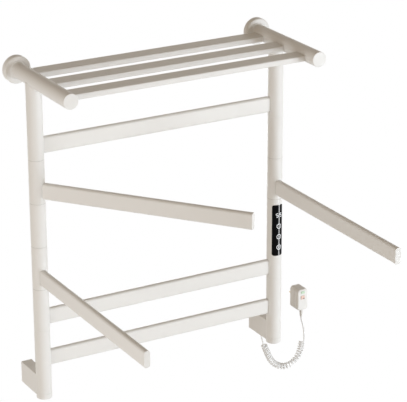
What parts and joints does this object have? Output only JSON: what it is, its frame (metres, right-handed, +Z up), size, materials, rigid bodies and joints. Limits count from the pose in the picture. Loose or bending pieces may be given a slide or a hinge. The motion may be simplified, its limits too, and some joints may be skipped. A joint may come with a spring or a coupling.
{
  "type": "towel warmer rack",
  "caption": "Wall-mounted electric towel warmer with fixed crossbars, swing-out arms, slatted top shelf, touch panel and curly mains cord.",
  "frame": {"origin": "centre of the four wall screws, on the wall plane", "axes": "+X along the wall to the right seen from the room, +Y into the wall, +Z up"},
  "size_m": [0.8517, 0.671, 1.0009],
  "materials": {
    "painted_frame": "satin powder coat",
    "end_caps": "satin",
    "core_metal": "mill",
    "washer_plastic": "matte",
    "screw_steel": "plain",
    "heater_silicone": "matte",
    "fascia_gloss": "gloss",
    "circuit_board": "matte",
    "cord_sheath": "satin",
    "plug_shell": "satin",
    "pin_brass": "plated",
    "test_green": "gloss",
    "reset_orange": "gloss"
  },
  "bodies": {
    "frame": {"left_post_top": "painted_frame", "left_post_spacer": "painted_frame", "left_post_lower": "painted_frame", "left_post_bottom": "painted_frame", "right_post_top": "painted_frame", "right_post_spacer": "painted_frame", "right_post_control": "painted_frame", "right_post_bottom": "painted_frame", "left_shelf_arm": "painted_frame", "right_shelf_arm": "painted_frame", "left_wall_flange": "painted_frame", "right_wall_flange": "painted_frame", "shelf_slat_back": "painted_frame", "shelf_slat_middle": "painted_frame", "shelf_slat_front": "painted_frame", "crossbar_top": "painted_frame", "crossbar_lower": "painted_frame", "crossbar_bottom": "painted_frame", "left_lower_bracket": "painted_frame", "right_lower_bracket": "painted_frame", "left_foot_cap": "end_caps", "right_foot_cap": "end_caps", "left_shelf_arm_cap": "end_caps", "right_shelf_arm_cap": "end_caps", "left_core_tube": "core_metal", "right_core_tube": "core_metal", "left_wall_seat": "core_metal", "right_wall_seat": "core_metal", "left_bracket_wall_plate": "core_metal", "right_bracket_wall_plate": "core_metal", "upper_left_thrust_washers": "washer_plastic", "lower_left_thrust_washers": "washer_plastic", "right_thrust_washers": "washer_plastic", "grub_screws": "screw_steel", "crossbar_heaters": "heater_silicone", "post_heating_cables": "heater_silicone", "control_fascia": "fascia_gloss", "touch_board": "circuit_board", "power_board": "circuit_board", "cord_gland": "cord_sheath", "cord_lead_lower": "cord_sheath", "cord_curls": "cord_sheath", "cord_lead_upper": "cord_sheath", "plug_strain_relief": "plug_shell", "plug_body": "plug_shell", "plug_pins": "pin_brass"},
    "upper_left_arm": {"upper_left_swivel_collar": "painted_frame", "upper_left_arm_bar": "painted_frame", "upper_left_arm_end_cap": "end_caps", "upper_left_arm_root_block": "core_metal"},
    "lower_left_arm": {"lower_left_swivel_collar": "painted_frame", "lower_left_arm_bar": "painted_frame", "lower_left_arm_end_cap": "end_caps", "lower_left_arm_root_block": "core_metal"},
    "right_arm": {"right_swivel_collar": "painted_frame", "right_arm_bar": "painted_frame", "right_arm_end_cap": "end_caps", "right_arm_root_block": "core_metal"},
    "test_button": {"plug_test_button": "test_green"},
    "reset_button": {"plug_reset_button": "reset_orange"}
  },
  "joints": [
    {"name": "upper_left_swing", "type": "hinge", "parent": "frame", "child": "upper_left_arm", "pos_m": [-0.34, -0.104, 0.1221], "axis": [0, 0, -1], "range_deg": [-52, 128]},
    {"name": "lower_left_swing", "type": "hinge", "parent": "frame", "child": "lower_left_arm", "pos_m": [-0.34, -0.104, -0.1043], "axis": [0, 0, -1], "range_deg": [-90, 90]},
    {"name": "right_swing", "type": "hinge", "parent": "frame", "child": "right_arm", "pos_m": [0.34, -0.104, 0.0089], "axis": [0, 0, 1], "range_deg": [-90, 90]},
    {"name": "test_press", "type": "slide", "parent": "frame", "child": "test_button", "axis": [0, 1, 0], "range_m": [0, 0.0012], "stiffness_N_per_m": 900},
    {"name": "reset_press", "type": "slide", "parent": "frame", "child": "reset_button", "axis": [0, 1, 0], "range_m": [0, 0.0012], "stiffness_N_per_m": 900}
  ]
}
